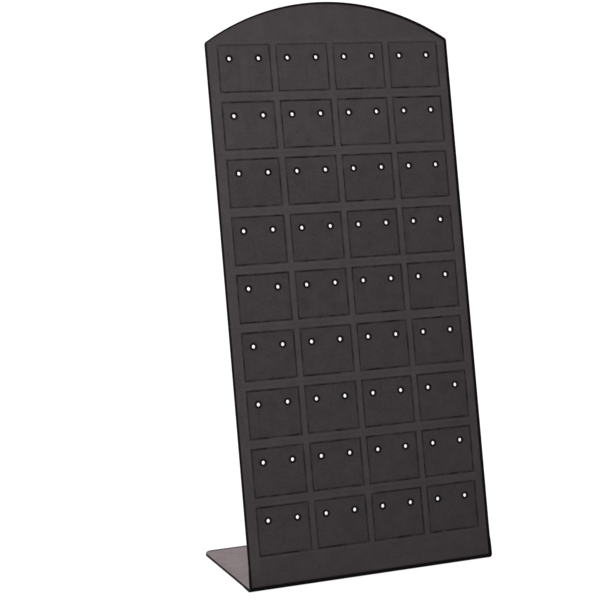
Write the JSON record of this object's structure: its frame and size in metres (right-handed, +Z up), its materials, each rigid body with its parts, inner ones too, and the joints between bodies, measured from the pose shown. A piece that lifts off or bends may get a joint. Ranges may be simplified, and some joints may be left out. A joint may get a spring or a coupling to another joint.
{
  "type": "jewelry display stand",
  "caption": "Folded black plastic sheet on a short foot: a tall leaning panel with an arched top and shallow pockets pierced for pairs of earrings.",
  "frame": {"origin": "middle of the space the stand takes up, on the surface it stands on", "axes": "+Z up, the panel faces -Y and leans back towards +Y, +X to the right of someone facing the panel"},
  "size_m": [0.1724, 0.0848, 0.363],
  "materials": {
    "sheet": "satin black"
  },
  "bodies": {
    "root": {"stand": "sheet"}
  },
  "joints": []
}
